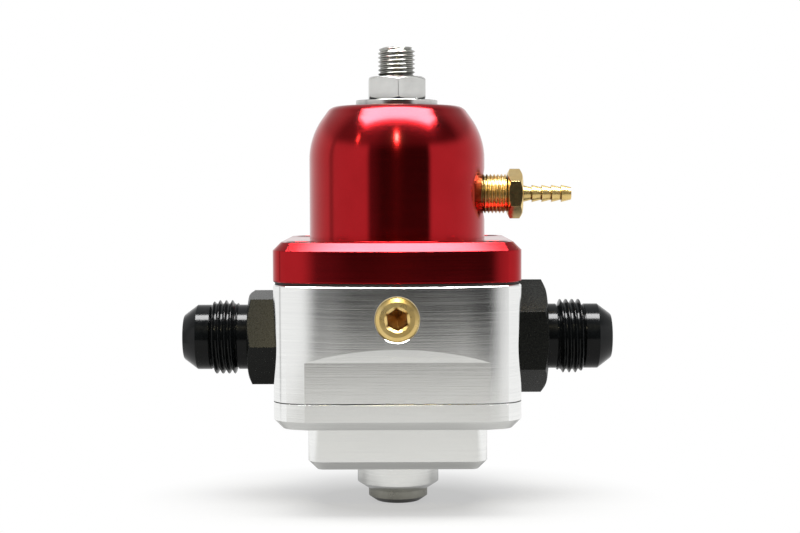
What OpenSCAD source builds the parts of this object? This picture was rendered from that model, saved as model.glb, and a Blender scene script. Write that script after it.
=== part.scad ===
// Return-style fuel pressure regulator with a spring bonnet, a diaphragm valve and two flare fittings.
// Millimetres. Origin on the axis under the return plug, +Z up, +X to the outlet, gauge port towards -Y.

/* [Housing outline] */
// Width across the two port sides
housing_w = 60.9; // [59:0.1:64]
// Depth across the crowned front and back
housing_d = 63.5; // [62:0.1:67]
// Radius of the crowned front and back faces
crown_r = 72; // [68:1:110]
// Radius of the four upright corners
corner_r = 7; // [6:0.5:8.5]
// Angle of the soft edge where a corner meets the faces beside it, degrees
corner_edge = 8; // [6:1:12]
// Depth across the two flats milled on the lower half
flat_d = 56.3; // [54:0.1:58]
// Height of the flats on the body, up to their 45 degree ramp
flat_h = 10.15; // [7:0.05:12]
// Edge break where bonnet and body meet
edge_break = 0.3; // [0.2:0.05:0.6]
// Edge break of the body where it meets the base
seam_break = 0.25; // [0.15:0.05:0.4]

/* [Stack heights] */
// Height of the base's round boss
boss_h = 8.15; // [7:0.05:11]
// Height of the base's square block
block_h = 10.75; // [9:0.05:15]
// Thickness of the base's plate
plate_h = 6.5; // [5.5:0.05:9]
// Height of the body
body_h = 28.8; // [27:0.05:32]
// Thickness of the diaphragm
diaphragm_t = 0.6; // [0.5:0.1:1.2]
// Thickness of the bonnet's flange
flange_h = 9.8; // [8.5:0.1:13]
// Height of the bonnet's dome above the flange
dome_h = 33.95; // [32:0.05:38]

/* [Base] */
// Diameter of the round boss
boss_dia = 21; // [19.5:0.1:26]
// Width of the boss's lower chamfer
boss_chamfer_w = 2.7; // [1:0.1:2.8]
// Height of the boss's lower chamfer
boss_chamfer_h = 1.8; // [1:0.1:3]
// Width of the square block
block_w = 44.4; // [40:0.1:50]
// Corner radius of the square block
block_corner_r = 4; // [3:0.5:8]
// Lower chamfer of the square block
block_chamfer = 2.2; // [1:0.1:2.8]
// Lower chamfer of the plate
plate_chamfer = 2.2; // [1:0.1:2.5]
// Diameter of the return passage
return_bore = 7; // [5:0.1:8.5]

/* [Return plug] */
// Diameter of the plug's round head
plug_head_dia = 15.2; // [14.4:0.1:15.6]
// Height of the head
plug_head_h = 3.25; // [2.6:0.05:5]
// Diameter of the face that the regulator stands on
plug_foot_dia = 11.6; // [10:0.1:13]
// Height of the bevel between foot and head
plug_bevel_h = 1.25; // [0.6:0.05:2]
// Thread diameter
plug_thread_dia = 11.11; // [10:0.01:11.5]
// Length of the shank above the head
plug_shank = 9; // [7:0.1:11]
// Width across flats of the hex socket
plug_key = 4.76; // [4:0.01:6]
// Depth of the hex socket
plug_key_depth = 4; // [3:0.1:6]

/* [Body] */
// Diameter of the valve chamber
chamber_dia = 29; // [26:0.1:31]
// Thickness of the chamber's floor
floor_t = 4.85; // [4.2:0.05:5.5]
// Diameter of the room under the diaphragm
under_dia = 39; // [36:0.1:40]
// Depth of the room under the diaphragm
under_h = 3.2; // [3:0.1:4.5]
// Height of the port axis above the body's underside
port_h = 13.85; // [12.5:0.05:14.5]
// Thread diameter of the two side ports
port_thread_dia = 19.05; // [17:0.01:19.8]
// Depth of the port threads below the recess
port_depth = 12.4; // [12:0.1:13.4]
// Diameter of the passage from a port to the chamber
port_passage = 12; // [10:0.1:13]
// Diameter of the shallow recess around each port
recess_dia = 48; // [44:0.5:50]
// Depth of the shallow recess
recess_t = 1.1; // [0.5:0.1:1.6]
// Height of the gauge port above the body's underside
gauge_h = 20.9; // [19.5:0.05:21.5]
// Thread diameter of the gauge port
gauge_thread_dia = 10.3; // [9.5:0.05:11]
// Width of the countersunk rim around the gauge port
gauge_rim_w = 0.5; // [0.3:0.05:0.8]
// Thread depth of the gauge port
gauge_depth = 10; // [9:0.1:12]
// Diameter of the passage from the gauge port to the chamber
gauge_passage = 5; // [3:0.1:7]
// Distance between the two bracket holes on the rear flat
bracket_pitch = 25.4; // [20:0.1:32]
// Thread diameter of the bracket holes
bracket_dia = 4.83; // [4:0.01:6]
// Depth of the bracket holes
bracket_depth = 8; // [6:0.1:10]
// Height of the bracket holes above the body's underside
bracket_h = 5.2; // [4:0.1:6]

/* [Bonnet] */
// Diameter of the dome
dome_dia = 45.1; // [44:0.1:47]
// Diameter of the dome's flat top
dome_top_dia = 30.8; // [28:0.1:32]
// Radius that blends the dome's wall into its shoulder
shoulder_r = 18; // [14:0.5:20]
// Lean of the shoulder's straight part from upright, degrees
shoulder_angle = 36; // [32:1:40]
// Radius of the dome's top edge
top_fillet = 3; // [2:0.1:4]
// Upper chamfer of the flange
flange_chamfer = 2; // [1:0.1:3]
// Diameter of the spring chamber
spring_room_dia = 35; // [33:0.1:36.5]
// Diameter of the room above the diaphragm
above_dia = 39; // [37:0.1:40]
// Depth of the room above the diaphragm
above_h = 3.8; // [3.6:0.1:5]
// Thickness of the dome's threaded top
top_t = 10; // [8.5:0.1:11]
// Height of the boost port above the flange's upper face
barb_h = 11.5; // [9:0.1:14]
// Diameter of the boost port's spotface
spot_dia = 13.8; // [12.9:0.1:15]
// Distance of the spotface from the axis
spot_x = 21.3; // [21:0.05:21.5]

/* [Clamp screws] */
// Thread diameter
screw_dia = 4.17; // [3.5:0.01:5]
// Length under the head
screw_len = 38; // [36.5:0.1:39]
// Head diameter
screw_head_dia = 6.86; // [6:0.01:7.4]
// Head height
screw_head_h = 4.17; // [3.5:0.01:4.6]
// Width across flats of the socket
screw_key = 3.57; // [2.5:0.01:4]
// Depth of the socket
screw_key_depth = 2; // [1.5:0.1:2.6]
// Depth of the head's counterbore
screw_sink = 4.8; // [4.7:0.1:6]
// Depth of the thread in the base's plate
screw_tap_depth = 5; // [4.5:0.1:5.3]

/* [Adjuster] */
// Thread diameter of the adjusting screw
adjust_dia = 9.525; // [8:0.005:11]
// Height of the screw's end above the dome
adjust_proud = 15.1; // [13:0.1:19]
// Chamfer on the screw's ends
adjust_chamfer = 0.7; // [0.4:0.1:1.2]
// Width across flats of the screw's socket
adjust_key = 4.76; // [4:0.01:5.5]
// Depth of the screw's socket
adjust_key_depth = 5; // [4:0.1:7]
// Width across flats of the jam nut
nut_af = 14.29; // [13.5:0.01:17]
// Thickness of the jam nut
nut_h = 6; // [5:0.1:8]
// Turn of the jam nut, degrees
nut_turn = 33; // [0:1:60]
// Outside diameter of the washer
washer_dia = 21; // [18:0.1:24]
// Thickness of the washer
washer_t = 1.5; // [1:0.1:2]

/* [Spring and diaphragm stack] */
// Wire diameter of the spring
spring_wire = 2.8; // [2.2:0.1:3]
// Mean diameter of the spring's coils
spring_dia = 22.4; // [21.5:0.1:24]
// Active coils between the two closed end coils
spring_coils = 3; // [2:1:4]
// Fitted length of the spring
spring_len = 24; // [22.5:0.1:24.6]
// Diameter of the spring seat
seat_dia = 27; // [26.5:0.1:30]
// Thickness of the spring seat
seat_t = 3; // [2.5:0.1:3.6]
// Height of the pilots inside the spring's ends
pilot_h = 2; // [1.5:0.1:3]
// Diameter of the spring cup
cup_dia = 31; // [29:0.1:32]
// Thickness of the spring cup
cup_t = 2.5; // [2:0.1:3]
// Diameter of the lower diaphragm plate
lower_dia = 32; // [30:0.1:33]
// Thickness of the lower diaphragm plate
lower_t = 2; // [1.5:0.1:2.4]
// Thread diameter of the valve stem
stem_dia = 5; // [4:0.1:6]
// Diameter of the stem's rod
stem_rod_dia = 8; // [7:0.1:9]
// Width across flats of the stem nut
stem_nut_af = 8; // [7.5:0.1:10]
// Thickness of the stem nut
stem_nut_h = 4; // [3:0.1:5]
// Setback of the diaphragm's edge from the housing's outline
diaphragm_inset = 0.5; // [0.2:0.1:1]

/* [Valve] */
// Diameter of the valve ball
ball_dia = 8; // [7.6:0.1:8.6]
// Diameter of the return orifice
orifice = 5.2; // [4.6:0.1:5.3]
// Width of the orifice's 45 degree seating edge
orifice_edge = 0.7; // [0.5:0.05:1]
// Thread diameter of the valve seat
insert_dia = 12; // [10:0.1:14]
// Diameter of the valve seat's head
insert_head_dia = 15; // [14.5:0.1:18]
// Height of the valve seat's head
insert_head_h = 1.6; // [1:0.1:2]
// Height of the seating edge above the chamber's floor
insert_h = 3.8; // [3:0.1:4.5]
// Diameter of the valve seat's nozzle
insert_nozzle_dia = 8.4; // [7.8:0.1:9.5]
// Wall of the stem's socket around the ball
socket_wall = 1.2; // [0.8:0.1:2]

/* [Flare fittings] */
// Width across flats of the left hex
left_af = 22.2; // [21.5:0.05:26]
// Width across flats of the right hex
right_af = 25.4; // [21.5:0.05:28]
// Turn of the left hex, degrees
left_turn = 23.5; // [0:0.1:60]
// Turn of the right hex, degrees
right_turn = 0; // [0:0.1:60]
// Length of the hex
fitting_hex_h = 8.8; // [6:0.1:11]
// Diameter of the flare's outside thread
flare_thread_dia = 19.05; // [17.5:0.01:21]
// Length of the outside thread
flare_thread_len = 7.3; // [6:0.1:10]
// Diameter of the neck and of the land before the cone
flare_neck_dia = 16.7; // [15:0.1:17]
// Length of the neck between hex and thread
flare_neck_len = 2.75; // [2:0.05:5]
// Length of the land between thread and cone
flare_land_len = 3.4; // [2:0.1:5]
// Diameter of the flare's end
flare_tip_dia = 11.4; // [10.6:0.1:13]
// Half angle of the flare's cone, degrees
flare_angle = 37; // [30:1:45]
// Diameter of the fuel passage
flare_bore = 10; // [8:0.1:10.4]
// Length of the thread in the port, with its o-ring groove
port_shank = 11.8; // [10:0.1:11.9]

/* [Boost barb] */
// Diameter of the pipe thread
barb_thread_dia = 10.1; // [9:0.05:11]
// Length of the pipe thread
barb_thread_len = 10.4; // [9.5:0.1:10.6]
// Exposed length of the pipe thread
barb_thread_out = 7.1; // [6.6:0.1:8]
// Width across flats of the hex
barb_af = 11.1; // [10.5:0.05:13]
// Length of the hex
barb_hex_h = 3.85; // [3:0.05:6]
// Number of barbs
barb_count = 5; // [3:1:7]
// Length of one barb
barb_pitch = 2.52; // [2:0.02:3.5]
// Large diameter of a barb
barb_big = 4.44; // [4.2:0.02:6]
// Small diameter of a barb
barb_small = 3.2; // [2.9:0.02:3.6]
// Diameter of the air passage
barb_bore = 1.8; // [1.2:0.1:2.2]

/* [Gauge plug] */
// Length of the plug
gauge_plug_len = 8; // [6.5:0.1:8.8]
// Setback of the plug's face from the crown
gauge_plug_sink = 0.25; // [0:0.05:0.6]
// Chamfer around the plug's face
gauge_plug_chamfer = 0.75; // [0.3:0.05:1]
// Width across flats of the socket
gauge_key = 4.76; // [4:0.01:5.5]
// Depth of the socket
gauge_key_depth = 4; // [3:0.1:5]
// Diameter of the socket's countersunk mouth
gauge_mouth_dia = 6.2; // [5.8:0.1:7]
// Diameter of the drill that opened the socket
gauge_drill = 4.4; // [3.5:0.1:4.6]
// Turn of the socket, degrees
gauge_turn = 34.6; // [0:0.1:60]

/* [Seals] */
// Section of the fittings' o-rings
ring_section = 2.2; // [1.8:0.05:2.3]
// Section of the return plug's o-ring
plug_ring_section = 1.8; // [1.5:0.05:1.9]
// Section of the base's o-ring
base_ring_section = 1.78; // [1.5:0.02:2.2]
// Mean diameter of the base's o-ring
base_ring_dia = 21.6; // [20.5:0.1:26]

/* [Clearances] */
// Radial gap of a screwed joint, whose thread is left plain
thread_gap = 0.05; // [0.02:0.01:0.1]
// Radial gap where the adjusting screw turns
turn_gap = 0.06; // [0.03:0.01:0.1]
// Gap between faces that turn against each other
face_gap = 0.05; // [0.02:0.01:0.1]
// Radial gap of a screw in its through hole
hole_gap = 0.25; // [0.15:0.05:0.4]
// Gap around an o-ring in its groove
ring_gap = 0.05; // [0.02:0.01:0.1]
// Gap between the valve ball and its seat at rest
valve_gap = 0.05; // [0.02:0.01:0.1]

/* [Hidden] */
$fn = 64;
over = 1;                                       // how far a cutter runs past the face it opens
thread_chamfer = 0.6;                           // 45 degree start of a thread
hex_bevel = 30;                                 // lean of a nut's round chamfer, degrees
hex_shy = 0.3;                                  // how far a nut's round face lies inside its flats
fitting_bevel = 25;                             // the same two for the flare fittings
fitting_shy = 0.1;
drill_point = 59;                               // half angle of a drill's point, degrees

// Heights of the faces, from the ground up
boss_z = plug_head_h;
block_z = boss_z + boss_h;
plate_z = block_z + block_h;
body_z = plate_z + plate_h;
diaphragm_z = body_z + body_h;
flange_z = diaphragm_z + diaphragm_t;
dome_z = flange_z + flange_h;
top_z = dome_z + dome_h;

// The outline: centre of a crown's arc, and the corner centres, which lie at crown_a from that centre
crown_y = crown_r - housing_d / 2;
corner_x = housing_w / 2 - corner_r * cos(corner_edge);
corner_far = sqrt(pow(crown_r, 2) + pow(corner_r, 2) - 2 * crown_r * corner_r * cos(corner_edge));
corner_y = sqrt(pow(corner_far, 2) - pow(corner_x, 2)) - crown_y;
crown_a = asin(corner_x / corner_far);

// Ports and fittings
port_z = body_z + port_h;
port_face = housing_w / 2 - recess_t;
port_neck_r = port_thread_dia / 2 - ring_section / 2;
ring_r = port_neck_r + ring_gap + ring_section / 2;
ring_room_r = ring_r + ring_section / 2 + ring_gap;
ring_room_h = ring_section + 2 * ring_gap;
flare_cone_len = (flare_neck_dia - flare_tip_dia) / 2 / tan(flare_angle);
gauge_z = body_z + gauge_h;
gauge_y = housing_d / 2;
barb_z = dome_z + barb_h;

// Return plug's seal
plug_neck_r = plug_thread_dia / 2 - plug_ring_section / 2;
plug_ring_r = plug_neck_r + ring_gap + plug_ring_section / 2;
plug_room_r = plug_ring_r + plug_ring_section / 2 + ring_gap;
plug_room_h = plug_ring_section + 2 * ring_gap;
plug_tap_h = plug_shank + over;

// Valve and diaphragm stack
floor_z = body_z + floor_t;
edge_z = floor_z + insert_h;
seat_edge_r = orifice / 2 + orifice_edge;
ball_r = ball_dia / 2;
ball_z = edge_z - seat_edge_r + 2 * ball_r * sin(45) + valve_gap;
socket_lip = 0.6;                               // how far the stem's socket stays above the ball's middle
socket_r = ball_r + socket_wall;
socket_h = ball_r + socket_wall;
lower_z = diaphragm_z - lower_t;
cup_z = flange_z + cup_t;
pilot_gap = 0.4;                                // radial gap between a pilot and the spring
pilot_r = (spring_dia - spring_wire) / 2 - pilot_gap;
stem_nut_z = cup_z + pilot_h;
stem_top = stem_nut_z + stem_nut_h + thread_chamfer;

// Spring seat and adjuster
seat_z = cup_z + spring_len;
tip_z = seat_z + seat_t + face_gap;
washer_z = top_z;
nut_z = washer_z + washer_t + face_gap;
washer_gap = 0.4;                               // radial gap of the washer on the screw
screw_seat_z = dome_z - screw_sink;
screw_tip_z = screw_seat_z - screw_len;
head_gap = 0.37;                                // radial gap around a clamp screw's head

// The dome's shoulder: arc centre and the tangent points of arc, straight and top edge
dome_r = dome_dia / 2;
dome_foot = dome_z - flange_chamfer / 2;
edge_r = dome_top_dia / 2;
straight_top = [edge_r + top_fillet * cos(shoulder_angle), top_z - top_fillet * (1 - sin(shoulder_angle))];
straight_low_r = dome_r - shoulder_r * (1 - cos(shoulder_angle));
straight_low = [straight_low_r,
    straight_top[1] - (straight_low_r - straight_top[0]) / tan(shoulder_angle)];
shoulder_z = straight_low[1] - shoulder_r * sin(shoulder_angle);

red = [0.62, 0.05, 0.07];
silver = [0.80, 0.81, 0.80];
black = [0.06, 0.06, 0.07];
brass = [0.80, 0.62, 0.30];
steel = [0.70, 0.71, 0.70];
nickel = [0.60, 0.57, 0.50];
rubber = [0.05, 0.05, 0.05];

module four_corners() {
    for (mx = [0, 1], my = [0, 1])
        mirror([mx, 0, 0]) mirror([0, my, 0]) children();
}

module front_and_back() {
    for (my = [0, 1]) mirror([0, my, 0]) children();
}

module left_and_right() {
    for (mx = [0, 1]) mirror([mx, 0, 0]) children();
}

// Slice of the housing outline from z up; its edge is set in by low at the foot and by high at the top
module housing_slice(z, h, low, high) {
    lean = (low - high) / h * over;
    translate([0, 0, z]) difference() {
        intersection() {
            translate([0, housing_d, 0]) rotate([90, 0, 0]) linear_extrude(2 * housing_d)
                polygon([[low - housing_w / 2, 0], [housing_w / 2 - low, 0], [housing_w / 2 - high, h],
                    [high - housing_w / 2, h]]);
            translate([0, -crown_y, 0]) cylinder(r1 = crown_r - low, r2 = crown_r - high, h = h);
            translate([0, crown_y, 0]) cylinder(r1 = crown_r - low, r2 = crown_r - high, h = h);
        }
        four_corners() translate([corner_x, corner_y, -over]) difference() {
            linear_extrude(h + 2 * over) polygon([[0, 0], [corner_x, 0], [corner_x, corner_x],
                [corner_x * tan(crown_a), corner_x]]);
            cylinder(r1 = corner_r - low - lean, r2 = corner_r - high + lean, h = h + 2 * over);
        }
    }
}

// Slice of a square block with round corners, set in like housing_slice
module block_slice(z, h, low, high) {
    c = block_w / 2 - block_corner_r;
    translate([0, 0, z]) {
        translate([-c, -c, 0]) cube([2 * c, 2 * c, h]);
        for (a = [0 : 90 : 270]) rotate(a) {
            translate([0, c, 0]) rotate([90, 0, 0]) linear_extrude(2 * c)
                polygon([[c, 0], [block_w / 2 - low, 0], [block_w / 2 - high, h], [c, h]]);
            translate([c, c, 0]) rotate_extrude(angle = 90)
                polygon([[0, 0], [block_corner_r - low, 0], [block_corner_r - high, h], [0, h]]);
        }
    }
}

// Prism along X from an outline in Y and Z
module along_x(width) {
    translate([-width / 2, 0, 0]) rotate([90, 0, 90]) linear_extrude(width) children();
}

module hex(af, h, turn = 0) {
    rotate(turn) cylinder(d = af / cos(30), h = h, $fn = 6);
}

// Hex bar with the round chamfers of a nut on its lower and upper end
module chamfered_hex(af, h, turn, low = true, high = true, bevel = hex_bevel, shy = hex_shy) {
    face_r = af / 2 - shy;
    out_r = af / 2 / cos(30) + over;
    drop = (out_r - face_r) * tan(bevel);
    intersection() {
        hex(af, h, turn);
        rotate_extrude() polygon(concat(
            low ? [[0, 0], [face_r, 0], [out_r, drop]] : [[0, 0], [out_r, 0]],
            high ? [[out_r, h - drop], [face_r, h], [0, h]] : [[out_r, h], [0, h]]));
    }
}

// Plain stand-in for a thread: the outside diameter with a chamfer on each end
module thread(dia, h) {
    c = thread_chamfer;
    r = dia / 2;
    rotate_extrude() polygon([[0, 0], [r - c, 0], [r, c], [r, h - c], [r - c, h], [0, h]]);
}

module o_ring(mean_r, section) {
    rotate_extrude() translate([mean_r, 0]) circle(d = section);
}

// Wedge of a disc, for the rounded parts of a profile
module wedge(centre, r, from, to) {
    translate(centre) intersection() {
        circle(r);
        polygon([[0, 0], 2 * r * [cos(from), sin(from)], 2 * r * [cos(to), sin(to)]]);
    }
}

module dome_profile() {
    shoulder = [dome_r - shoulder_r, shoulder_z];
    edge = [edge_r, top_z - top_fillet];
    polygon([[0, dome_foot], [dome_r, dome_foot], [dome_r, shoulder_z], straight_low, straight_top,
        [edge_r, top_z], [0, top_z]]);
    wedge(shoulder, shoulder_r, 0, shoulder_angle);
    wedge(edge, top_fillet, shoulder_angle, 90);
}

module bonnet() {
    room_top = top_z - top_t;
    color(red) difference() {
        union() {
            housing_slice(flange_z, edge_break, edge_break, 0);
            housing_slice(flange_z + edge_break, flange_h - edge_break - flange_chamfer, 0, 0);
            housing_slice(dome_z - flange_chamfer, flange_chamfer, 0, flange_chamfer);
            rotate_extrude() dome_profile();
        }
        translate([0, 0, flange_z - over]) cylinder(d = above_dia, h = above_h + over);
        translate([0, 0, flange_z]) cylinder(d = spring_room_dia, h = room_top - flange_z);
        translate([0, 0, room_top - over])
            cylinder(r = adjust_dia / 2 + turn_gap, h = top_t + 2 * over);
        four_corners() translate([corner_x, corner_y, 0]) {
            translate([0, 0, flange_z - over]) cylinder(r = screw_dia / 2 + hole_gap, h = flange_h);
            translate([0, 0, screw_seat_z]) cylinder(r = screw_head_dia / 2 + head_gap, h = screw_sink + over);
        }
        translate([0, 0, barb_z]) rotate([0, 90, 0]) {
            cylinder(r = barb_thread_dia / 2 + thread_gap, h = dome_dia);
            translate([0, 0, spot_x]) cylinder(d = spot_dia, h = dome_dia);
        }
    }
}

module adjusting_screw() {
    h = top_z + adjust_proud - tip_z;
    r = adjust_dia / 2;
    c = adjust_chamfer;
    color(steel) translate([0, 0, tip_z]) difference() {
        rotate_extrude() polygon([[0, 0], [r - 2 * c, 0], [r, 2 * c], [r, h - c], [r - c, h], [0, h]]);
        translate([0, 0, h - adjust_key_depth]) hex(adjust_key, adjust_key_depth + over);
    }
}

module jam_nut() {
    color(steel) translate([0, 0, nut_z]) difference() {
        chamfered_hex(nut_af, nut_h, nut_turn);
        translate([0, 0, -over]) cylinder(r = adjust_dia / 2 + turn_gap, h = nut_h + 2 * over);
    }
}

module flat_washer() {
    color(steel) translate([0, 0, washer_z]) difference() {
        cylinder(d = washer_dia, h = washer_t);
        translate([0, 0, -over]) cylinder(r = adjust_dia / 2 + washer_gap, h = washer_t + 2 * over);
    }
}

module clamp_screws() {
    color(steel) four_corners() translate([corner_x, corner_y, screw_tip_z]) difference() {
        union() {
            cylinder(d = screw_dia, h = screw_len);
            translate([0, 0, screw_len]) cylinder(d = screw_head_dia, h = screw_head_h);
        }
        translate([0, 0, screw_len + screw_head_h - screw_key_depth]) hex(screw_key, screw_key_depth + over);
    }
}

module spring_seat() {
    color(steel) translate([0, 0, seat_z]) {
        cylinder(d = seat_dia, h = seat_t);
        translate([0, 0, -pilot_h]) cylinder(r = pilot_r, h = pilot_h);
    }
}

// Closed end coils rise by little more than the wire, active coils share the rest of the length
module main_spring() {
    sides = 8;
    steps = 24;
    closed_rise = 1.04 * spring_wire;
    facet_r = spring_wire / 2 - face_gap;
    rise = (spring_len - 2 * facet_r - 2 * face_gap - 2 * closed_rise) / spring_coils;
    turns = spring_coils + 2;
    function coil_z(t) = t < 1 ? t * closed_rise
        : t < turns - 1 ? closed_rise + (t - 1) * rise
        : closed_rise + spring_coils * rise + (t - turns + 1) * closed_rise;
    rings = turns * steps;
    points = [for (i = [0 : rings], k = [0 : sides - 1])
        let (t = i / steps, a = 360 * t, b = 360 * k / sides,
            r = spring_dia / 2 + facet_r * cos(b))
        [r * cos(a), r * sin(a), cup_z + face_gap + facet_r + coil_z(t) + facet_r * sin(b)]];
    walls = [for (i = [0 : rings - 1], k = [0 : sides - 1])
        let (n = (k + 1) % sides)
        [i * sides + k, i * sides + n, (i + 1) * sides + n, (i + 1) * sides + k]];
    ends = [[for (k = [sides - 1 : -1 : 0]) k], [for (k = [0 : sides - 1]) rings * sides + k]];
    color(steel) polyhedron(points, concat(walls, ends));
}

module diaphragm() {
    color(rubber) difference() {
        housing_slice(diaphragm_z, diaphragm_t, diaphragm_inset, diaphragm_inset);
        translate([0, 0, diaphragm_z - over]) cylinder(r = stem_dia / 2 + thread_gap, h = diaphragm_t + 2 * over);
        four_corners() translate([corner_x, corner_y, diaphragm_z - over])
            cylinder(r = screw_dia / 2 + hole_gap, h = diaphragm_t + 2 * over);
    }
}

module spring_cup() {
    color(steel) translate([0, 0, flange_z]) difference() {
        union() {
            cylinder(d = cup_dia, h = cup_t);
            translate([0, 0, cup_t]) cylinder(r = pilot_r, h = pilot_h);
        }
        translate([0, 0, -over]) cylinder(r = stem_dia / 2 + thread_gap, h = cup_t + pilot_h + 2 * over);
    }
}

module lower_plate() {
    color(steel) translate([0, 0, lower_z]) difference() {
        cylinder(d = lower_dia, h = lower_t);
        translate([0, 0, -over]) cylinder(r = stem_dia / 2 + thread_gap, h = lower_t + 2 * over);
    }
}

module valve_stem() {
    color(steel) difference() {
        union() {
            translate([0, 0, ball_z + socket_lip]) cylinder(r = socket_r, h = socket_h);
            translate([0, 0, ball_z + socket_lip])
                cylinder(d = stem_rod_dia, h = lower_z - ball_z - socket_lip);
            translate([0, 0, lower_z]) cylinder(d = stem_dia, h = stem_top - lower_z);
        }
        translate([0, 0, ball_z]) sphere(r = ball_r + thread_gap);
    }
}

module stem_nut() {
    color(steel) translate([0, 0, stem_nut_z]) difference() {
        chamfered_hex(stem_nut_af, stem_nut_h, 0, low = false);
        translate([0, 0, -over]) cylinder(r = stem_dia / 2 + thread_gap, h = stem_nut_h + 2 * over);
    }
}

module valve_ball() {
    color(steel) translate([0, 0, ball_z]) sphere(d = ball_dia);
}

module valve_seat() {
    bore_r = orifice / 2;
    nozzle_r = insert_nozzle_dia / 2;
    head_r = insert_head_dia / 2;
    color(brass) rotate_extrude() polygon([
        [bore_r, body_z + ring_gap], [insert_dia / 2, body_z + ring_gap], [insert_dia / 2, floor_z],
        [head_r, floor_z], [head_r, floor_z + insert_head_h], [nozzle_r, floor_z + insert_head_h],
        [nozzle_r, edge_z], [seat_edge_r, edge_z], [bore_r, edge_z - orifice_edge]]);
}

// Outlines of what is milled off the body below its ramp, and off the base's plate, in Y and Z
module body_flat() {
    y = flat_d / 2;
    far = housing_d;
    line = body_z + flat_h;
    polygon([[y, line], [y, body_z + seam_break], [y - seam_break - over, body_z - over], [far, body_z - over],
        [far, line + far - y]]);
}

module base_flat() {
    y = flat_d / 2;
    far = housing_d;
    polygon([[y, body_z + over], [y, plate_z + plate_chamfer], [y - plate_chamfer - over, plate_z - over],
        [far, plate_z - over], [far, body_z + over]]);
}

// Shallow spotface of a fitting, which runs across the seam into the base's plate
module port_recess() {
    translate([port_face, 0, port_z]) rotate([0, 90, 0]) cylinder(d = recess_dia, h = recess_t + over);
}

module side_port() {
    port_recess();
    translate([port_face, 0, port_z]) rotate([0, -90, 0]) {
        translate([0, 0, -over]) cylinder(r = ring_room_r, h = ring_room_h + over);
        cylinder(r = port_thread_dia / 2 + thread_gap, h = port_depth);
        cylinder(d = port_passage, h = port_face);
    }
}

module gauge_port() {
    rim_r = gauge_thread_dia / 2 + gauge_rim_w;
    translate([0, -gauge_y, gauge_z]) rotate([-90, 0, 0]) {
        translate([0, 0, -over]) cylinder(r1 = rim_r + over, r2 = rim_r - gauge_rim_w, h = gauge_rim_w + over);
        cylinder(r = gauge_thread_dia / 2 + thread_gap, h = gauge_depth);
        cylinder(d = gauge_passage, h = gauge_y);
    }
}

module body() {
    color(silver) difference() {
        union() {
            housing_slice(body_z, seam_break, seam_break, 0);
            housing_slice(body_z + seam_break, body_h - edge_break - seam_break, 0, 0);
            housing_slice(diaphragm_z - edge_break, edge_break, 0, edge_break);
        }
        front_and_back() along_x(housing_w + 2 * over) body_flat();
        translate([0, 0, floor_z]) cylinder(d = chamber_dia, h = body_h);
        translate([0, 0, diaphragm_z - under_h]) cylinder(d = under_dia, h = under_h + over);
        translate([0, 0, body_z - over]) cylinder(r = insert_dia / 2 + thread_gap, h = floor_t + 2 * over);
        left_and_right() side_port();
        gauge_port();
        four_corners() translate([corner_x, corner_y, body_z - over])
            cylinder(r = screw_dia / 2 + hole_gap, h = body_h + 2 * over);
        for (s = [-1, 1]) translate([s * bracket_pitch / 2, flat_d / 2 + over, body_z + bracket_h])
            rotate([90, 0, 0]) cylinder(d = bracket_dia, h = bracket_depth + over);
    }
}

// Flare fitting along +Z from the face that seats on the body
module flare_fitting(af, turn) {
    neck_z = fitting_hex_h;
    thread_z = neck_z + flare_neck_len;
    land_z = thread_z + flare_thread_len;
    cone_z = land_z + flare_land_len;
    neck_r = flare_neck_dia / 2;
    color(black) difference() {
        union() {
            translate([0, 0, -port_shank]) thread(port_thread_dia, port_shank - ring_room_h);
            translate([0, 0, -port_shank]) cylinder(r = port_neck_r, h = port_shank + fitting_hex_h / 2);
            chamfered_hex(af, fitting_hex_h, turn, low = false, bevel = fitting_bevel, shy = fitting_shy);
            translate([0, 0, neck_z / 2]) cylinder(r = neck_r, h = cone_z - neck_z / 2);
            translate([0, 0, thread_z]) thread(flare_thread_dia, flare_thread_len);
            translate([0, 0, cone_z]) cylinder(r1 = neck_r, d2 = flare_tip_dia, h = flare_cone_len);
        }
        translate([0, 0, -port_shank - over])
            cylinder(d = flare_bore, h = port_shank + cone_z + flare_cone_len + 2 * over);
    }
}

module on_right() {
    translate([port_face, 0, port_z]) rotate([0, 90, 0]) children();
}

module on_left() {
    translate([-port_face, 0, port_z]) rotate([0, -90, 0]) children();
}

module left_fitting() {
    on_left() flare_fitting(left_af, left_turn);
}

module right_fitting() {
    on_right() flare_fitting(right_af, right_turn);
}

module fitting_o_ring() {
    color(rubber) translate([0, 0, -ring_room_h / 2]) o_ring(ring_r, ring_section);
}

module left_fitting_o_ring() {
    on_left() fitting_o_ring();
}

module right_fitting_o_ring() {
    on_right() fitting_o_ring();
}

module gauge_plug() {
    c = gauge_plug_chamfer;
    r = gauge_thread_dia / 2;
    mouth_h = (gauge_mouth_dia - gauge_key) / 2;
    point_h = gauge_drill / 2 / tan(drill_point);
    color(brass) translate([0, gauge_plug_sink - gauge_y, gauge_z]) rotate([90, 0, 0]) difference() {
        rotate_extrude() polygon([[0, 0], [r - c, 0], [r, -c], [r, c - gauge_plug_len],
            [r - c, -gauge_plug_len], [0, -gauge_plug_len]]);
        translate([0, 0, -gauge_key_depth]) hex(gauge_key, gauge_key_depth + over, gauge_turn);
        translate([0, 0, -mouth_h])
            cylinder(r1 = gauge_key / 2, r2 = gauge_mouth_dia / 2 + over, h = mouth_h + over);
        translate([0, 0, -gauge_key_depth - point_h]) cylinder(d1 = 0, d2 = gauge_drill, h = point_h);
    }
}

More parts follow.
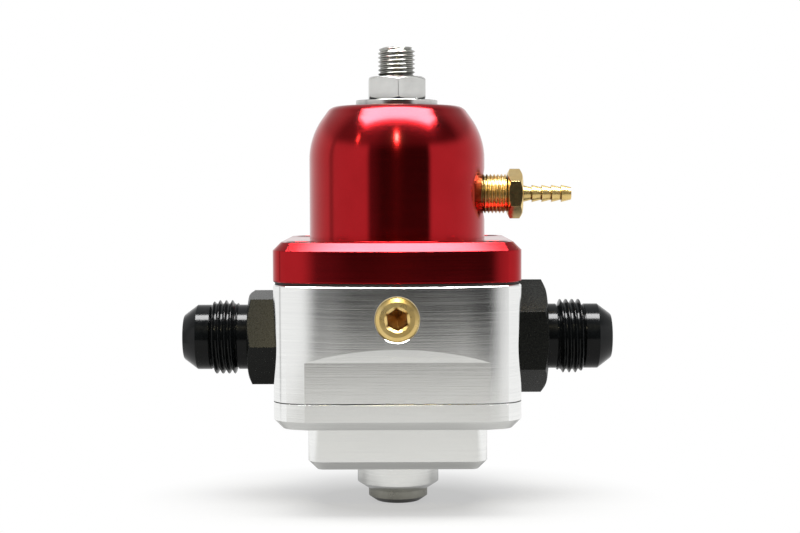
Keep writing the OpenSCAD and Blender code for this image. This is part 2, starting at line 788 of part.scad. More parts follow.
module boost_barb() {
    hex_z = barb_thread_out;
    tail_z = hex_z + barb_hex_h;
    inner = barb_thread_len - barb_thread_out;
    color(brass) translate([spot_x, 0, barb_z]) rotate([0, 90, 0]) difference() {
        union() {
            translate([0, 0, -inner]) thread(barb_thread_dia, barb_thread_len);
            translate([0, 0, hex_z]) chamfered_hex(barb_af, barb_hex_h, 0);
            rotate_extrude() polygon(concat([[0, hex_z + barb_hex_h / 2], [barb_big / 2, hex_z + barb_hex_h / 2]],
                [for (i = [0 : barb_count - 1]) each [[barb_big / 2, tail_z + i * barb_pitch],
                    [barb_small / 2, tail_z + (i + 1) * barb_pitch]]],
                [[0, tail_z + barb_count * barb_pitch]]));
        }
        translate([0, 0, -inner - over])
            cylinder(d = barb_bore, h = inner + tail_z + barb_count * barb_pitch + 2 * over);
    }
}

module base() {
    boss_r = boss_dia / 2;
    groove_r = base_ring_dia / 2;
    groove_w = base_ring_section + 2 * ring_gap;
    color(silver) difference() {
        union() {
            housing_slice(plate_z, plate_chamfer, plate_chamfer, 0);
            housing_slice(plate_z + plate_chamfer, plate_h - plate_chamfer, 0, 0);
            block_slice(block_z, block_chamfer, block_chamfer, 0);
            block_slice(block_z + block_chamfer, block_h - block_chamfer + plate_h / 2, 0, 0);
            translate([0, 0, boss_z])
                cylinder(r1 = boss_r - boss_chamfer_w, r2 = boss_r, h = boss_chamfer_h);
            translate([0, 0, boss_z + boss_chamfer_h])
                cylinder(r = boss_r, h = boss_h - boss_chamfer_h + block_h / 2);
        }
        front_and_back() along_x(housing_w + 2 * over) base_flat();
        left_and_right() port_recess();
        translate([0, 0, boss_z]) cylinder(d = return_bore, h = body_z - boss_z + over);
        translate([0, 0, boss_z - over]) cylinder(r = plug_thread_dia / 2 + thread_gap, h = plug_tap_h + over);
        translate([0, 0, boss_z - over]) cylinder(r = plug_room_r, h = plug_room_h + over);
        translate([0, 0, body_z - groove_w]) rotate_extrude()
            translate([groove_r - groove_w / 2, 0]) square([groove_w, groove_w + over]);
        four_corners() translate([corner_x, corner_y, body_z - screw_tap_depth])
            cylinder(r = screw_dia / 2 + thread_gap, h = screw_tap_depth + over);
    }
}

module base_o_ring() {
    groove_w = base_ring_section + 2 * ring_gap;
    color(rubber) translate([0, 0, body_z - groove_w / 2]) o_ring(base_ring_dia / 2, base_ring_section);
}

module return_plug() {
    head_r = plug_head_dia / 2;
    color(nickel) difference() {
        union() {
            rotate_extrude() polygon([[0, 0], [plug_foot_dia / 2, 0], [head_r, plug_bevel_h],
                [head_r, plug_head_h], [0, plug_head_h]]);
            translate([0, 0, plug_head_h]) cylinder(r = plug_neck_r, h = plug_shank);
            translate([0, 0, plug_head_h + plug_room_h]) thread(plug_thread_dia, plug_shank - plug_room_h);
        }
        translate([0, 0, -over]) hex(plug_key, plug_key_depth + over);
    }
}

module return_plug_o_ring() {
    color(rubber) translate([0, 0, plug_head_h + plug_room_h / 2]) o_ring(plug_ring_r, plug_ring_section);
}

bonnet();
adjusting_screw();
jam_nut();
flat_washer();
clamp_screws();
spring_seat();
main_spring();
diaphragm();
spring_cup();
lower_plate();
valve_stem();
stem_nut();
valve_ball();
valve_seat();
body();
left_fitting();
right_fitting();
left_fitting_o_ring();
right_fitting_o_ring();
gauge_plug();
boost_barb();
base();
base_o_ring();
return_plug();
return_plug_o_ring();
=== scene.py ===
# Fuel pressure regulator: threads, finishes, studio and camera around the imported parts.
import math

import bmesh
import bpy
from mathutils import Matrix, Vector


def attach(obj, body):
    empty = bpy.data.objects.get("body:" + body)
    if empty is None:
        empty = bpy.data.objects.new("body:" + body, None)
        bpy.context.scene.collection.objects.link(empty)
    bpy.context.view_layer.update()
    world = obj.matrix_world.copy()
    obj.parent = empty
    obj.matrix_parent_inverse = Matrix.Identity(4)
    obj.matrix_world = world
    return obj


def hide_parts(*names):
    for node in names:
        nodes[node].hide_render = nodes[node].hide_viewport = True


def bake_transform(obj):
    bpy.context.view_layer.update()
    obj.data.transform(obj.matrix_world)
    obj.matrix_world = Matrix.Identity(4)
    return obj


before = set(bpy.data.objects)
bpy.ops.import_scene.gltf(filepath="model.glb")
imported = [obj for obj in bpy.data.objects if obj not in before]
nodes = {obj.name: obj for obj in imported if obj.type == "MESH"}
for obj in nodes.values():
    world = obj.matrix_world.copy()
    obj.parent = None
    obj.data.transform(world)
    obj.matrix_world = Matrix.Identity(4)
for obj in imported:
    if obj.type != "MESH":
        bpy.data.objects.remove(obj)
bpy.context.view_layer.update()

MM = 0.001
WHITE = (1.0, 1.0, 1.0)

# Finishes


def new_material(name):
    """A node material, with its tree and its Principled shader."""
    mat = bpy.data.materials.new(name)
    mat.use_nodes = True
    tree = mat.node_tree
    return mat, tree, tree.nodes["Principled BSDF"]


def object_coords(tree, scale):
    """Object coordinates stretched by scale, per metre."""
    coords = tree.nodes.new("ShaderNodeTexCoord")
    mapping = tree.nodes.new("ShaderNodeMapping")
    mapping.inputs["Scale"].default_value = scale
    tree.links.new(coords.outputs["Object"], mapping.inputs["Vector"])
    return mapping.outputs["Vector"]


def even(marks):
    """The same grain in all three directions, in marks a metre."""
    return (marks, marks, marks)


def noise(tree, grain, detail=3.0, roughness=0.6):
    """Cloudy pattern from 0 to 1, with a grain in marks a metre."""
    tex = tree.nodes.new("ShaderNodeTexNoise")
    tex.inputs["Scale"].default_value = 1.0
    tex.inputs["Detail"].default_value = detail
    tex.inputs["Roughness"].default_value = roughness
    tree.links.new(object_coords(tree, grain), tex.inputs["Vector"])
    return tex.outputs["Fac"]


def spread(tree, value, low, high, start=0.3, end=0.7):
    """value from start to end becomes low to high."""
    ramp = tree.nodes.new("ShaderNodeMapRange")
    for key, number in (("From Min", start), ("From Max", end), ("To Min", low), ("To Max", high)):
        ramp.inputs[key].default_value = number
    tree.links.new(value, ramp.inputs["Value"])
    return ramp.outputs["Result"]


def shade(tree, value, dark, light, start=0.3, end=0.7):
    """Colour between dark and light by value."""
    ramp = tree.nodes.new("ShaderNodeValToRGB")
    ramp.color_ramp.elements[0].position = start
    ramp.color_ramp.elements[1].position = end
    ramp.color_ramp.elements[0].color = (*dark, 1.0)
    ramp.color_ramp.elements[1].color = (*light, 1.0)
    tree.links.new(value, ramp.inputs["Fac"])
    return ramp.outputs["Color"]


def combine(tree, operation, first, second):
    """Math node on two inputs, each a socket or a number."""
    node = tree.nodes.new("ShaderNodeMath")
    node.operation = operation
    for socket, value in zip(node.inputs, (first, second)):
        if isinstance(value, float):
            socket.default_value = value
        else:
            tree.links.new(value, socket)
    return node.outputs["Value"]


def soft_edges(tree, shader, radius, height=None, strength=0.2, depth=0.02 * MM):
    """Rounds the shading of sharp edges, and adds the bump of a height pattern."""
    bevel = tree.nodes.new("ShaderNodeBevel")
    bevel.samples = 6
    bevel.inputs["Radius"].default_value = radius
    normal = bevel.outputs["Normal"]
    if height is not None:
        bump = tree.nodes.new("ShaderNodeBump")
        bump.inputs["Strength"].default_value = strength
        bump.inputs["Distance"].default_value = depth
        tree.links.new(height, bump.inputs["Height"])
        tree.links.new(normal, bump.inputs["Normal"])
        normal = bump.outputs["Normal"]
    tree.links.new(normal, shader.inputs["Normal"])


def painted_crevice_shade(tree, colour, reach, darkest, start, end):
    """Colour with painted shade: darker in seams and holes, within reach of other surfaces."""
    crevice = tree.nodes.new("ShaderNodeAmbientOcclusion")
    crevice.samples = 8
    crevice.inputs["Distance"].default_value = reach
    mix = tree.nodes.new("ShaderNodeVectorMath")
    mix.operation = "SCALE"
    tree.links.new(colour, mix.inputs[0])
    tree.links.new(spread(tree, crevice.outputs["AO"], darkest, 1.0, start, end), mix.inputs["Scale"])
    return mix.outputs["Vector"]


def level_grain(tree, shader, amount):
    """Level tool marks all round Z, which spread reflections up and down."""
    quarter_turn = 0.25
    shader.inputs["Anisotropic"].default_value = amount
    shader.inputs["Anisotropic Rotation"].default_value = quarter_turn
    tangent = tree.nodes.new("ShaderNodeTangent")
    tangent.direction_type = "RADIAL"
    tangent.axis = "Z"
    tree.links.new(tangent.outputs["Tangent"], shader.inputs["Tangent"])


def brushed_aluminium():
    """Clear anodised aluminium with fine level scratches, and painted shade in its seams and holes."""
    scratch_grain, cloud_grain = (28.0, 28.0, 3400.0), (60.0, 60.0, 110.0)
    dark, light = (0.88, 0.885, 0.875), (0.97, 0.975, 0.96)
    smooth, rough, scratch_rough = 0.13, 0.155, 0.035
    mat, tree, shader = new_material("brushed_aluminium")
    lines = noise(tree, scratch_grain, detail=4.0, roughness=0.7)
    cloud = noise(tree, cloud_grain, detail=2.0)
    shader.inputs["Metallic"].default_value = 1.0
    level_grain(tree, shader, 0.5)
    colour = shade(tree, lines, dark, light)
    # painted shade: the colour darkens in narrow seams, then in the deeper holes
    seams = painted_crevice_shade(tree, colour, reach=0.6 * MM, darkest=0.1, start=0.5, end=0.9)
    holes = painted_crevice_shade(tree, seams, reach=6.0 * MM, darkest=0.12, start=0.05, end=0.38)
    tree.links.new(holes, shader.inputs["Base Color"])
    scratches = spread(tree, lines, -scratch_rough, scratch_rough)
    roughness = combine(tree, "ADD", spread(tree, cloud, smooth, rough), scratches)
    tree.links.new(roughness, shader.inputs["Roughness"])
    soft_edges(tree, shader, radius=0.06 * MM, height=lines, strength=0.16, depth=0.04 * MM)
    return mat


def red_anodising():
    """Deep red anodising over turned aluminium."""
    turned_grain, cloud_grain = (40.0, 40.0, 4200.0), even(120.0)
    dark, light = (0.385, 0.0107, 0.0148), (0.425, 0.0121, 0.0171)
    smooth, rough = 0.13, 0.17
    mat, tree, shader = new_material("red_anodising")
    lines = noise(tree, turned_grain)
    cloud = noise(tree, cloud_grain, detail=2.0)
    shader.inputs["Metallic"].default_value = 1.0
    tree.links.new(shade(tree, cloud, dark, light), shader.inputs["Base Color"])
    tree.links.new(spread(tree, lines, smooth, rough), shader.inputs["Roughness"])
    level_grain(tree, shader, 0.8)
    shader.inputs["Coat Weight"].default_value = 0.08
    shader.inputs["Coat Roughness"].default_value = 0.2
    soft_edges(tree, shader, radius=0.25 * MM)
    return mat


def black_anodising(name, light, smooth, rough, grain, relief):
    """Black anodising with the slight mottling of tool marks under it."""
    dark = (0.0015, 0.0018, 0.002)
    mat, tree, shader = new_material(name)
    mottle = noise(tree, even(grain), detail=4.0, roughness=0.7)
    shader.inputs["IOR"].default_value = 1.28
    tree.links.new(shade(tree, mottle, dark, light), shader.inputs["Base Color"])
    tree.links.new(spread(tree, mottle, smooth, rough), shader.inputs["Roughness"])
    soft_edges(tree, shader, radius=0.12 * MM, height=mottle, strength=relief)
    return mat


def bright_metal(name, dark, light, smooth, rough, grain, edge=0.12 * MM):
    """Machined metal with fine turning marks, small stains, and painted shade in its hollows."""
    stain_grain = even(180.0)
    mat, tree, shader = new_material(name)
    marks = noise(tree, grain)
    stains = noise(tree, stain_grain)
    shader.inputs["Metallic"].default_value = 1.0
    colour = shade(tree, stains, dark, light)
    # painted shade: the colour darkens in hollows and thread grooves
    shaded_colour = painted_crevice_shade(tree, colour, reach=3.0 * MM, darkest=0.15, start=0.3, end=0.8)
    tree.links.new(shaded_colour, shader.inputs["Base Color"])
    tree.links.new(spread(tree, marks, smooth, rough), shader.inputs["Roughness"])
    soft_edges(tree, shader, edge)
    return mat


def black_rubber():
    """Moulded rubber of the diaphragm and the rings."""
    dark, light = (0.012, 0.012, 0.012), (0.03, 0.03, 0.03)
    smooth, rough = 0.55, 0.75
    mat, tree, shader = new_material("black_rubber")
    grain = noise(tree, even(1500.0))
    tree.links.new(shade(tree, grain, dark, light), shader.inputs["Base Color"])
    tree.links.new(spread(tree, grain, smooth, rough), shader.inputs["Roughness"])
    soft_edges(tree, shader, radius=0.08 * MM, height=grain, strength=0.1)
    return mat


FINE_GRAIN = even(900.0)
TURNED_GRAIN = (300.0, 300.0, 3000.0)
ROUNDED_EDGE = 0.28 * MM

aluminium = brushed_aluminium()
red = red_anodising()
black = black_anodising("black_anodising", (0.003, 0.0035, 0.0038), 0.12, 0.18, grain=900.0, relief=0.06)
milled_black = black_anodising("milled_black", (0.006, 0.0066, 0.0054), 0.22, 0.34, grain=1800.0, relief=0.3)
brass = bright_metal("turned_brass", (0.88, 0.62, 0.22), (0.94, 0.71, 0.31), 0.26, 0.34, FINE_GRAIN)
bright_brass = bright_metal("bright_brass", (0.86, 0.62, 0.26), (0.92, 0.70, 0.34), 0.14, 0.20, FINE_GRAIN)
# darker brass for the inside of the gauge plug's socket: painted shade in the recess
socket_shade_brass = bright_metal("socket_shade_brass", (0.46, 0.25, 0.09), (0.58, 0.34, 0.13), 0.20, 0.28, FINE_GRAIN)
stainless = bright_metal(
    "bright_stainless", (0.60, 0.60, 0.58), (0.70, 0.70, 0.68), 0.17, 0.24, TURNED_GRAIN, ROUNDED_EDGE
)
screw_steel = bright_metal(
    "screw_steel", (0.42, 0.42, 0.39), (0.50, 0.50, 0.47), 0.17, 0.24, TURNED_GRAIN, ROUNDED_EDGE
)
plated = bright_metal("zinc_plate", (0.52, 0.52, 0.50), (0.66, 0.66, 0.63), 0.28, 0.42, even(500.0))
wire = bright_metal("spring_wire", (0.24, 0.25, 0.26), (0.36, 0.37, 0.38), 0.3, 0.42, even(800.0))
nickel = bright_metal(
    "nickel_plate", (0.39, 0.385, 0.34), (0.50, 0.495, 0.44), 0.26, 0.36, (300.0, 300.0, 900.0)
)
oxide = bright_metal("black_oxide", (0.02, 0.02, 0.02), (0.05, 0.05, 0.05), 0.35, 0.5, FINE_GRAIN)
rubber = black_rubber()

FINISH = {
    "bonnet": red,
    "body": aluminium,
    "base": aluminium,
    "left_fitting": black,
    "right_fitting": black,
    "gauge_plug": brass,
    "boost_barb": brass,
    "valve_seat": brass,
    "adjusting_screw": screw_steel,
    "jam_nut": stainless,
    "flat_washer": stainless,
    "valve_stem": stainless,
    "valve_ball": stainless,
    "clamp_screws": oxide,
    "spring_seat": plated,
    "spring_cup": plated,
    "lower_plate": plated,
    "stem_nut": plated,
    "main_spring": wire,
    "return_plug": nickel,
    "diaphragm": rubber,
    "left_fitting_o_ring": rubber,
    "right_fitting_o_ring": rubber,
    "base_o_ring": rubber,
    "return_plug_o_ring": rubber,
}
for name, finish in FINISH.items():
    nodes[name].data.materials.clear()
    nodes[name].data.materials.append(finish)

# Pieces with threads, sockets and coils, in millimetres until they are placed

ROUND, HEX, THREAD = 0, 1, 2
SHARP_ANGLE = 32.0

PORT_FACE, PORT_Z = 29.35, 42.5
GAUGE_FACE, GAUGE_Z = -31.75, 49.55
BARB_FACE, BARB_Z = 21.3, 79.35


def thread_drop(phase, pitch):
    """Depth below the crest of a 60 degree thread, at a place along one pitch."""
    crest, root, deep = 0.125, 0.25, 0.54
    flank = (1.0 - crest - root) / 2.0
    place = abs((phase % 1.0) - 0.5) * 2.0
    ramp = (place - crest) / (2.0 * flank)
    return deep * pitch * min(1.0, max(0.0, ramp))


def as_piece(name, bm, sharp=SHARP_ANGLE):
    """Object of a finished bmesh, smooth apart from edges over sharp degrees."""
    mesh = bpy.data.meshes.new(name)
    bm.to_mesh(mesh)
    bm.free()
    mesh.polygons.foreach_set("use_smooth", [True] * len(mesh.polygons))
    mesh.set_sharp_from_angle(angle=math.radians(sharp))
    piece = bpy.data.objects.new(name, mesh)
    bpy.context.scene.collection.objects.link(piece)
    return piece


def turned_piece(name, outline, place, steps, pitch=1.0, flats=1.0, sharp=SHARP_ANGLE):
    """Spins an outline of (along, radius, kind) round Z; hex rows take their flats and the second finish."""
    weld = 0.0001 * MM
    bm = bmesh.new()
    row = bm.verts.layers.int.new("row")
    ring = []
    for i, (along, radius, _) in enumerate(outline):
        v = bm.verts.new((radius, 0.0, along))
        v[row] = i
        ring.append(v)
    edges = [bm.edges.new((a, b)) for a, b in zip(ring, ring[1:] + ring[:1])]
    bmesh.ops.spin(
        bm, geom=ring + edges, cent=(0, 0, 0), axis=(0, 0, 1), angle=math.tau, steps=steps, use_merge=True
    )
    for v in bm.verts:
        along, radius, kind = outline[v[row]]
        angle = math.atan2(v.co.y, v.co.x)
        if kind == HEX:
            sector = (angle + math.tau) % (math.pi / 3) - math.pi / 6
            radius = min(radius, flats / 2.0 / math.cos(sector))
        elif kind == THREAD:
            radius -= thread_drop(along / pitch - angle / math.tau, pitch)
        v.co = Vector((radius * math.cos(angle), radius * math.sin(angle), along)) * MM
    for face in bm.faces:
        face.material_index = int(all(outline[v[row]][2] == HEX for v in face.verts))
    bmesh.ops.remove_doubles(bm, verts=bm.verts, dist=weld)
    bmesh.ops.recalc_face_normals(bm, faces=bm.faces)
    bmesh.ops.transform(bm, matrix=place, verts=bm.verts)
    return as_piece(name, bm, sharp)


def helix_rows(start, end, radius, pitch, rows, fade):
    """Rows of an outside thread, with a 45 degree start of length fade on each end."""
    count = int(round((end - start) / pitch * rows))
    made = []
    for i in range(count + 1):
        along = start + (end - start) * i / count
        near = min(along - start, end - along)
        made.append((along, radius - max(0.0, fade - near), THREAD))
    return made


def corner_radius(flats):
    """Radius of the corners of a hex."""
    return flats / 2.0 / math.cos(math.pi / 6)


def hex_rows(start, end, flats, low, high, rows=8, shy=0.3, bevel=30.0):
    """Rows of a hex with the round chamfers of a nut on the chosen ends."""
    tall = corner_radius(flats)
    face = flats / 2.0 - shy
    drop = (tall - face) * math.tan(math.radians(bevel))
    rise = [drop * i / rows for i in range(rows + 1)]
    made = []
    if low:
        made += [(start + d, face + (tall - face) * d / drop, HEX) for d in rise]
    else:
        made += [(start, tall, HEX)]
    if high:
        made += [(end - d, face + (tall - face) * d / drop, HEX) for d in reversed(rise)]
    else:
        made += [(end, tall, HEX)]
    return made


def plain(*rows):
    """Rows of a round stretch, from pairs of place and radius."""
    return [(along, radius, ROUND) for along, radius in rows]


def flare_fitting(name, flats, turn, side):
    """Flare fitting from its port thread to its 37 degree cone; side is 1 on the right, -1 on the left."""
    bore, port_neck, neck, thread, pitch = 5.0, 8.425, 8.35, 9.525, 1.5875
    shank, groove, chamfer = 11.8, 2.3, 0.6
    hex_end, thread_start, thread_end, land_end = 8.8, 11.55, 18.85, 22.25
    tip, tip_edge, cone_end, tip_face = 25.766, 0.25, 5.9, 5.6
    outline = plain((-shank, bore), (-shank, thread - chamfer), (chamfer - shank, thread))
    outline += plain((-groove - chamfer, thread), (-groove, port_neck), (0.0, port_neck))
    outline += hex_rows(0.0, hex_end, flats, low=False, high=True, shy=0.1, bevel=25.0)
    outline += plain((hex_end, neck), (thread_start, neck))
    outline += helix_rows(thread_start, thread_end, thread, pitch, rows=14, fade=1.1)
    outline += plain((thread_end, neck), (land_end, neck))
    outline += plain((tip - tip_edge, cone_end), (tip, tip_face), (tip, bore))
    place = (
        Matrix.Translation(Vector((side * PORT_FACE, 0.0, PORT_Z)) * MM)
        @ Matrix.Rotation(side * math.pi / 2, 4, "Y")
        @ Matrix.Rotation(math.radians(turn), 4, "Z")
    )
    return turned_piece(name, outline, place, steps=144, pitch=pitch, flats=flats)


def adjuster():
    """Set screw with its thread and hex socket."""
    thread, pitch, chamfer = 4.7625, 1.0583, 1.4
    foot, thread_start, end = 87.6, 96.0, 116.9
    key, mouth, key_end, drill_end = 4.76, 3.2, end - 5.0, end - 6.2
    corner = corner_radius(key)
    outline = plain((foot, 0.0), (foot, thread - chamfer), (foot + chamfer, thread), (thread_start, thread))
    outline += helix_rows(thread_start, end, thread, pitch, rows=12, fade=0.75)
    outline += plain((end, mouth))
    outline += [(end, corner, HEX), (key_end, corner, HEX)]
    outline += plain((drill_end, 0.0))
    return turned_piece("threaded_adjuster", outline, Matrix.Identity(4), steps=72, pitch=pitch, flats=key)


def hose_barb():
    """Barb with its pipe thread, hex and five barbs."""
    thread, pitch, chamfer, bore = 5.05, 0.9407, 1.0, 0.9
    foot, hex_start, hex_end, flats = -3.3, 7.1, 10.95, 11.1
    barbs, barb_pitch, barb_crest, barb_root = 5, 2.52, 2.22, 1.6
    outline = plain((foot, bore), (foot, thread - chamfer))
    outline += helix_rows(foot, hex_start, thread, pitch, rows=12, fade=0.5)
    outline += hex_rows(hex_start, hex_end, flats, low=True, high=True)
    barb_ends = [hex_end + barb_pitch * i for i in range(barbs + 1)]
    for start, end in zip(barb_ends, barb_ends[1:]):
        outline += plain((start, barb_crest), (end, barb_root))
    outline += plain((barb_ends[-1], bore))
    place = (
        Matrix.Translation(Vector((BARB_FACE, 0.0, BARB_Z)) * MM)
        @ Matrix.Rotation(math.pi / 2, 4, "Y")
    )
    return turned_piece("threaded_barb", outline, place, steps=96, pitch=pitch, flats=flats)


def keyed_plug():
    """Gauge plug with the broad bevel of its rim, its hex socket and the point of the drill."""
    rim, bevel, crest, step, wall, foot = 4.28, 0.37, 5.24, 0.2, 5.15, -8.0
    key, turn, mouth, key_start, key_end, drill_end = 4.76, 34.6, 3.1, -0.5, -4.0, -5.3
    corner = corner_radius(key)
    outline = [(drill_end, 0.0, HEX), (key_end, corner, HEX), (key_start, corner, HEX)]
    outline += plain((0.0, mouth), (0.0, rim), (-bevel, crest), (-bevel - step, wall))
    outline += plain((foot, wall), (foot, 0.0))
    place = (
        Matrix.Translation(Vector((0.0, GAUGE_FACE, GAUGE_Z)) * MM)
        @ Matrix.Rotation(math.pi / 2, 4, "X")
        @ Matrix.Rotation(math.radians(turn), 4, "Z")
    )
    return turned_piece("keyed_gauge_plug", outline, place, steps=96, flats=key, sharp=15.0)


def coiled_spring():
    """Main spring of round wire, with a closed coil on each end; coils are turns and the rise of a turn."""
    wire_r, coil_r, foot, sides, steps = 1.35, 11.2, 61.95, 14, 40
    closed, active = (1, 2.912), (3, 5.125)
    bm = bmesh.new()
    bmesh.ops.create_circle(bm, segments=sides, radius=wire_r * MM)
    bmesh.ops.rotate(bm, cent=(0, 0, 0), matrix=Matrix.Rotation(math.pi / 2, 3, "X"), verts=bm.verts)
    bmesh.ops.translate(bm, vec=Vector((coil_r, 0.0, foot)) * MM, verts=bm.verts)
    end = bm.verts[:] + bm.edges[:]
    for turns, rise in (closed, active, closed):
        made = bmesh.ops.spin(
            bm,
            geom=end,
            cent=(0, 0, 0),
            axis=(0, 0, 1),
            dvec=(0, 0, rise * MM / steps),
            angle=turns * math.tau,
            steps=turns * steps,
        )
        end = made["geom_last"]
    bmesh.ops.holes_fill(bm, edges=[e for e in bm.edges if e.is_boundary], sides=0)
    bmesh.ops.recalc_face_normals(bm, faces=bm.faces)
    return as_piece("coiled_main_spring", bm)


def stand_for(piece, node, body, finishes):
    """Puts a finished piece on its body in the place of a node."""
    for finish in finishes:
        piece.data.materials.append(finish)
    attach(piece, body)
    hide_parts(node)


for hand, flats, turn, side in (("left", 22.2, 23.5, -1), ("right", 25.4, 0.0, 1)):
    fitting = flare_fitting(f"threaded_{hand}_fitting", flats, turn, side)
    stand_for(fitting, f"{hand}_fitting", "housing", (black, milled_black))
stand_for(adjuster(), "adjusting_screw", "adjuster", (screw_steel, screw_steel))
stand_for(hose_barb(), "boost_barb", "housing", (brass, bright_brass))
# the plug's hex socket takes the darker brass, painted shade inside the recess
stand_for(keyed_plug(), "gauge_plug", "housing", (brass, socket_shade_brass))

spring = coiled_spring()
spring.data.materials.append(wire)
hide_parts("main_spring")
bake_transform(spring)

# Studio, lamps and camera, in metres


def by_degrees(tree, angle, low, high, start, end):
    """spread over an angle, with start and end in degrees."""
    return spread(tree, angle, low, high, math.radians(start), math.radians(end))


def studio_world():
    """Dark room with white cards beside and behind the object; the background itself is plain white.

    Angles are in degrees: 0 is towards the camera, positive to the right, and up for card_top.
    """
    front_lean, front_edge, edge_blur = 3.0, 40.5, 3.0
    card_top, top_blur = 21.0, 4.0
    left_card, right_card, card_change = 0.75, 0.88, 0.1
    strip, strip_level, strip_half, strip_blur = -98.0, 0.5, 1.5, 6.0
    glow, glow_full, glow_none = 0.12, -36.0, -22.0
    dark, ceiling, back_ceiling, ceiling_change = 0.024, 0.10, 0.48, 0.3
    world = bpy.data.worlds.new("studio")
    bpy.context.scene.world = world
    world.use_nodes = True
    tree = world.node_tree
    back = tree.nodes["Background"]
    coords = tree.nodes.new("ShaderNodeTexCoord")
    split = tree.nodes.new("ShaderNodeSeparateXYZ")
    tree.links.new(coords.outputs["Generated"], split.inputs[0])
    towards_camera = combine(tree, "MULTIPLY", split.outputs["Y"], -1.0)
    azimuth = combine(tree, "ARCTAN2", split.outputs["X"], towards_camera)
    turned = combine(tree, "SUBTRACT", azimuth, math.radians(front_lean))
    around = combine(tree, "ABSOLUTE", turned, 0.0)
    beside = by_degrees(tree, around, 0.0, 1.0, front_edge - edge_blur, front_edge + edge_blur)
    from_strip = combine(tree, "ABSOLUTE", combine(tree, "SUBTRACT", turned, math.radians(strip)), 0.0)
    off_strip = by_degrees(tree, from_strip, strip_level, 1.0, strip_half, strip_blur)
    card_start, card_end = (math.sin(math.radians(card_top + blur)) for blur in (-top_blur, top_blur))
    above = spread(tree, split.outputs["Z"], 0.0, 1.0, card_start, card_end)
    below = combine(tree, "MULTIPLY", combine(tree, "SUBTRACT", 1.0, above), off_strip)
    ceiling_level = spread(tree, split.outputs["Y"], ceiling, back_ceiling, 0.0, ceiling_change)
    overhead = combine(tree, "MULTIPLY", above, ceiling_level)
    card = spread(tree, turned, left_card, right_card, -card_change, card_change)
    cards = combine(tree, "MULTIPLY", combine(tree, "MULTIPLY", beside, below), card)
    lit = combine(tree, "ADD", cards, overhead)
    left_glow = by_degrees(tree, turned, glow, 0.0, glow_full, glow_none)
    level = combine(tree, "ADD", lit, combine(tree, "ADD", left_glow, dark))
    rays = tree.nodes.new("ShaderNodeLightPath")
    strength = combine(tree, "MAXIMUM", rays.outputs["Is Camera Ray"], level)
    tree.links.new(strength, back.inputs["Strength"])
    back.inputs["Color"].default_value = (*WHITE, 1.0)


def pale_floor():
    """White paper from the camera to behind the object, which fades to plain white away from it.

    The paper also glows as painted light, dimmer in front of the object and bright at its sides, which fills
    the shade under the object; the camera sees it fade over an oval, and reflections see it bright at the
    object's sides.
    """
    half_width, half_depth, middle_y, sunk = 0.22, 0.275, -0.125, 0.02 * MM
    oval, oval_start, oval_end, near_glow = (1.0, 1.4, 1.0), 0.02, 0.07, 0.5
    wedge, side_start, side_end, front_glow, side_glow = (1.0, 0.6, 1.0), 0.05, 0.09, 0.29, 0.85
    mirrored_paper, seen_paper = (0.155, 0.155, 0.152), (0.27, 0.27, 0.265)
    bm = bmesh.new()
    bmesh.ops.create_grid(bm, x_segments=1, y_segments=1, size=1.0)
    bmesh.ops.scale(bm, vec=(half_width, half_depth, 1.0), verts=bm.verts)
    bmesh.ops.translate(bm, vec=(0.0, middle_y, -sunk), verts=bm.verts)
    mesh = bpy.data.meshes.new("paper_floor")
    bm.to_mesh(mesh)
    bm.free()
    floor = bpy.data.objects.new("paper_floor", mesh)
    bpy.context.scene.collection.objects.link(floor)
    mat, tree, shader = new_material("white_paper")
    shader.inputs["Roughness"].default_value = 0.9
    shader.inputs["Specular IOR Level"].default_value = 0.1
    glow = tree.nodes.new("ShaderNodeEmission")
    glow.inputs["Color"].default_value = (*WHITE, 1.0)
    mix = tree.nodes.new("ShaderNodeMixShader")
    length = tree.nodes.new("ShaderNodeVectorMath")
    length.operation = "LENGTH"
    tree.links.new(object_coords(tree, oval), length.inputs[0])
    away = spread(tree, length.outputs["Value"], near_glow, 1.0, oval_start, oval_end)
    rays = tree.nodes.new("ShaderNodeLightPath")
    paper = shade(tree, rays.outputs["Is Camera Ray"], mirrored_paper, seen_paper, start=0.0, end=1.0)
    tree.links.new(paper, shader.inputs["Base Color"])
    seen = combine(tree, "MULTIPLY", rays.outputs["Is Camera Ray"], away)
    across = tree.nodes.new("ShaderNodeSeparateXYZ")
    tree.links.new(object_coords(tree, wedge), across.inputs[0])
    forward = combine(tree, "MINIMUM", across.outputs["Y"], 0.0)
    sideways = combine(tree, "ADD", combine(tree, "ABSOLUTE", across.outputs["X"], 0.0), forward)
    # painted light: the paper's glow, weaker in front of the object and stronger at its sides
    lit = spread(tree, sideways, front_glow, side_glow, side_start, side_end)
    tree.links.new(combine(tree, "MAXIMUM", seen, lit), mix.inputs["Fac"])
    tree.links.new(shader.outputs["BSDF"], mix.inputs[1])
    tree.links.new(glow.outputs["Emission"], mix.inputs[2])
    tree.links.new(mix.outputs["Shader"], tree.nodes["Material Output"].inputs["Surface"])
    mesh.materials.append(mat)


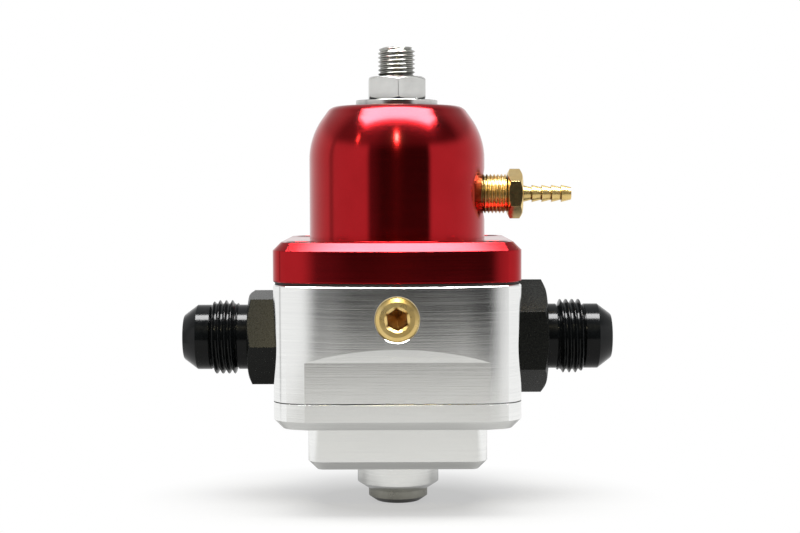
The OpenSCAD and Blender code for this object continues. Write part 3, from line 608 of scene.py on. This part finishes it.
def softbox(name, place, aim, width, depth, radiance, colour=WHITE):
    """Area lamp of a given surface brightness, turned to aim."""
    lamp = bpy.data.lights.new(name, "AREA")
    lamp.color = colour
    lamp.shape = "RECTANGLE"
    lamp.size = width
    lamp.size_y = depth
    lamp.energy = radiance * math.pi * width * depth
    box = bpy.data.objects.new(name, lamp)
    box.location = place
    box.rotation_mode = "QUATERNION"
    box.rotation_quaternion = (Vector(aim) - Vector(place)).to_track_quat("-Z", "Y")
    bpy.context.scene.collection.objects.link(box)


def small_lamp(name, azimuth, elevation, width, tall, radiance):
    """Small warm lamp aimed at the object; azimuth 0 is towards the camera, positive to the right."""
    aim, distance, warm = Vector((0.0, 0.0, 0.06)), 0.8, (1.0, 0.88, 0.55)
    az, el = math.radians(azimuth), math.radians(elevation)
    away = Vector((math.sin(az) * math.cos(el), -math.cos(az) * math.cos(el), math.sin(el)))
    softbox(name, aim + distance * away, aim, width, tall, radiance, warm)


def photo_camera():
    """Camera at the photograph's distance, height and tilt."""
    place, look_down, roll = (0.0007, -0.398, 0.0827), 3.178, -0.2
    lens_px, frame_px = 1540.0, 800.0
    cam = bpy.data.cameras.new("photo_camera")
    cam.sensor_width = 36.0
    cam.lens = lens_px / frame_px * cam.sensor_width
    cam.clip_start = 0.01
    cam.clip_end = 20.0
    camera = bpy.data.objects.new("photo_camera", cam)
    camera.location = place
    tilted = Matrix.Rotation(math.radians(90.0 - look_down), 3, "X")
    rolled = Matrix.Rotation(math.radians(roll), 3, "Z")
    camera.rotation_euler = (tilted @ rolled).to_euler()
    bpy.context.scene.collection.objects.link(camera)
    bpy.context.scene.camera = camera


studio_world()
pale_floor()
softbox(
    "overhead", place=(0.01, -0.085, 0.45), aim=(0.01, -0.085, 0.0), width=0.52, depth=0.15, radiance=34.0
)
small_lamp("front_lamp", azimuth=0.0, elevation=36.0, width=0.05, tall=0.16, radiance=70.0)
small_lamp("left_lamp", azimuth=-56.0, elevation=30.5, width=0.04, tall=0.10, radiance=11.0)
photo_camera()
bpy.context.scene.view_settings.view_transform = "Standard"
